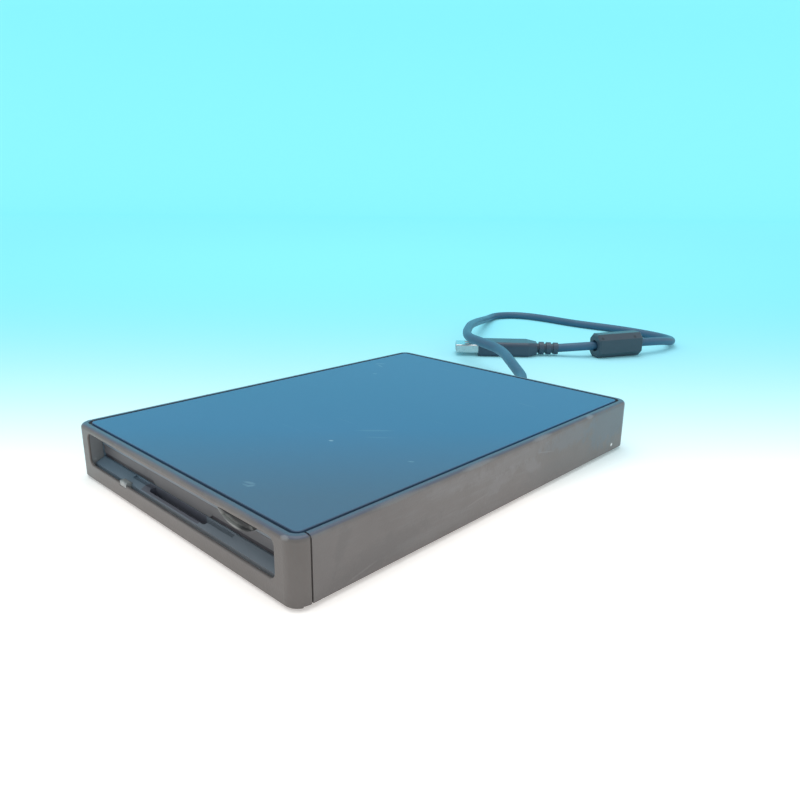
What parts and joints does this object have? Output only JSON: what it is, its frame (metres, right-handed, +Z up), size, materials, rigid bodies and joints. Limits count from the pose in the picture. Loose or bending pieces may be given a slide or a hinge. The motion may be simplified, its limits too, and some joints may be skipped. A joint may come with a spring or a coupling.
{
  "type": "external floppy disk drive",
  "caption": "Flat external drive for 3.5-inch disks with a spring flap, an eject button at the right of its recessed mouth and a captive USB cord with a ferrite.",
  "frame": {"origin": "on the table, under the middle of the case", "axes": "+X to the right seen from the front, +Y from the mouth to the cord's end, +Z up"},
  "size_m": [0.1888, 0.3408, 0.0171],
  "materials": {
    "case_gray": "fine even texture, moulded ABS",
    "plate_blue": "satin steel-blue paint with faint scratches",
    "foot_rubber": "matt black rubber",
    "zinc_steel": "zinc-plated sheet steel",
    "spring_steel": "bright spring wire",
    "drive_gray": "fine texture, dark blue-gray ABS",
    "button_gray": "smooth satin plastic",
    "clear_plastic": "clear moulded plastic",
    "board_green": "glass-fibre board with green lacquer",
    "bearing_brass": "sintered bearing metal",
    "winding_copper": "enamelled copper wire on laminations",
    "ferrite_dark": "dark sintered ferrite",
    "bright_steel": "ground bright steel",
    "cast_aluminium": "bead-blasted die casting",
    "head_ceramic": "lapped dark ceramic",
    "arm_plastic": "glass-filled black plastic",
    "chip_black": "matt black moulding compound",
    "white_plastic": "white acetal",
    "ribbon_white": "white flat ribbon",
    "cord_rubber": "satin slate-blue PVC",
    "cord_plastic": "satin slate-blue moulded plastic",
    "plug_steel": "nickel-plated pressed steel",
    "contact_gold": "gold-plated contacts"
  },
  "bodies": {
    "case": {"front_bezel": "case_gray", "upper_housing": "case_gray", "bottom_cover": "case_gray", "top_plate": "plate_blue", "rubber_feet": "foot_rubber", "case_screws": "zinc_steel", "drive_screws": "zinc_steel", "drive_bezel": "drive_gray", "light_pipe": "clear_plastic", "status_led": "clear_plastic", "flap_spring": "spring_steel", "chassis": "zinc_steel", "drive_cover": "zinc_steel", "cover_screws": "zinc_steel", "slide_rivets": "zinc_steel", "motor_board": "board_green", "spindle_bearing": "bearing_brass", "stator": "winding_copper", "guide_rod": "bright_steel", "rod_clamps": "zinc_steel", "stepper_motor": "zinc_steel", "control_board": "board_green", "control_chips": "chip_black", "track_sensor": "chip_black", "switch_blocks": "chip_black", "usb_board": "board_green", "usb_chips": "chip_black", "drive_ribbon": "ribbon_white", "cord_boot": "cord_rubber", "usb_cord": "cord_rubber", "ferrite_case_upper": "cord_plastic", "ferrite_case_lower": "cord_plastic", "ferrite_core": "ferrite_dark", "plug_body": "cord_plastic", "plug_shell": "plug_steel", "plug_tongue": "white_plastic", "plug_contacts": "contact_gold"},
    "flap": {"slot_flap": "drive_gray"},
    "eject": {"slide_plate": "zinc_steel", "eject_button": "button_gray", "eject_springs": "spring_steel"},
    "holder": {"disk_holder": "zinc_steel", "lever_pivot": "zinc_steel", "lever_spring": "spring_steel"},
    "lever": {"shutter_lever": "zinc_steel"},
    "spindle": {"rotor_cup": "zinc_steel", "rotor_magnet": "ferrite_dark", "spindle_hub": "bright_steel", "drive_pin": "bright_steel"},
    "carriage": {"head_carriage": "cast_aluminium", "lower_head": "head_ceramic", "arm_spring": "spring_steel", "arm_pins": "bright_steel"},
    "arm": {"head_arm": "arm_plastic", "upper_head": "head_ceramic"},
    "screw": {"lead_screw": "bright_steel"},
    "media_switch": {"media_plunger": "white_plastic"},
    "density_switch": {"density_plunger": "white_plastic"},
    "protect_switch": {"protect_plunger": "white_plastic"}
  },
  "joints": [
    {"name": "flap_hinge", "type": "hinge", "parent": "case", "child": "flap", "pos_m": [0, -0.06692, 0.01068], "axis": [1, 0, 0], "range_deg": [0, 86], "stiffness_Nm_per_rad": 0.0005, "springref_deg": -14.32},
    {"name": "eject_slide", "type": "slide", "parent": "case", "child": "eject", "axis": [0, -1, 0], "range_m": [0, 0.004]},
    {"name": "holder_drop", "type": "slide", "parent": "case", "child": "holder", "axis": [0, 0, -1], "range_m": [0, 0.002]},
    {"name": "lever_swing", "type": "hinge", "parent": "holder", "child": "lever", "pos_m": [0.0303, 0.0299, 0.0116], "axis": [0, 0, -1], "range_deg": [0, 61], "stiffness_Nm_per_rad": 0.001, "springref_deg": -17.19},
    {"name": "spindle_spin", "type": "hinge", "parent": "case", "child": "spindle", "pos_m": [0, -0.0185, 0.004], "axis": [0, 0, 1], "continuous": true},
    {"name": "carriage_slide", "type": "slide", "parent": "case", "child": "carriage", "axis": [0, -1, 0], "range_m": [0, 0.0148]},
    {"name": "arm_hinge", "type": "hinge", "parent": "carriage", "child": "arm", "pos_m": [0, 0.0545, 0.0123], "axis": [1, 0, 0], "range_deg": [0, 6.6]},
    {"name": "screw_turn", "type": "hinge", "parent": "case", "child": "screw", "pos_m": [-0.019, 0.04, 0.0082], "axis": [0, 1, 0], "range_deg": [0, 1780]},
    {"name": "media_press", "type": "slide", "parent": "case", "child": "media_switch", "axis": [0, 0, -1], "range_m": [0, 0.001], "stiffness_N_per_m": 100, "springref_m": -0.0005},
    {"name": "density_press", "type": "slide", "parent": "case", "child": "density_switch", "axis": [0, 0, -1], "range_m": [0, 0.001], "stiffness_N_per_m": 100, "springref_m": -0.0005},
    {"name": "protect_press", "type": "slide", "parent": "case", "child": "protect_switch", "axis": [0, 0, -1], "range_m": [0, 0.001], "stiffness_N_per_m": 100, "springref_m": -0.0005}
  ],
  "couplings": [
    {"joint": "holder_drop", "follows": "eject_slide", "ratio": 0.5},
    {"joint": "arm_hinge", "follows": "eject_slide", "rad_per_m": 28.5},
    {"joint": "screw_turn", "follows": "carriage_slide", "rad_per_m": 2094.4}
  ]
}
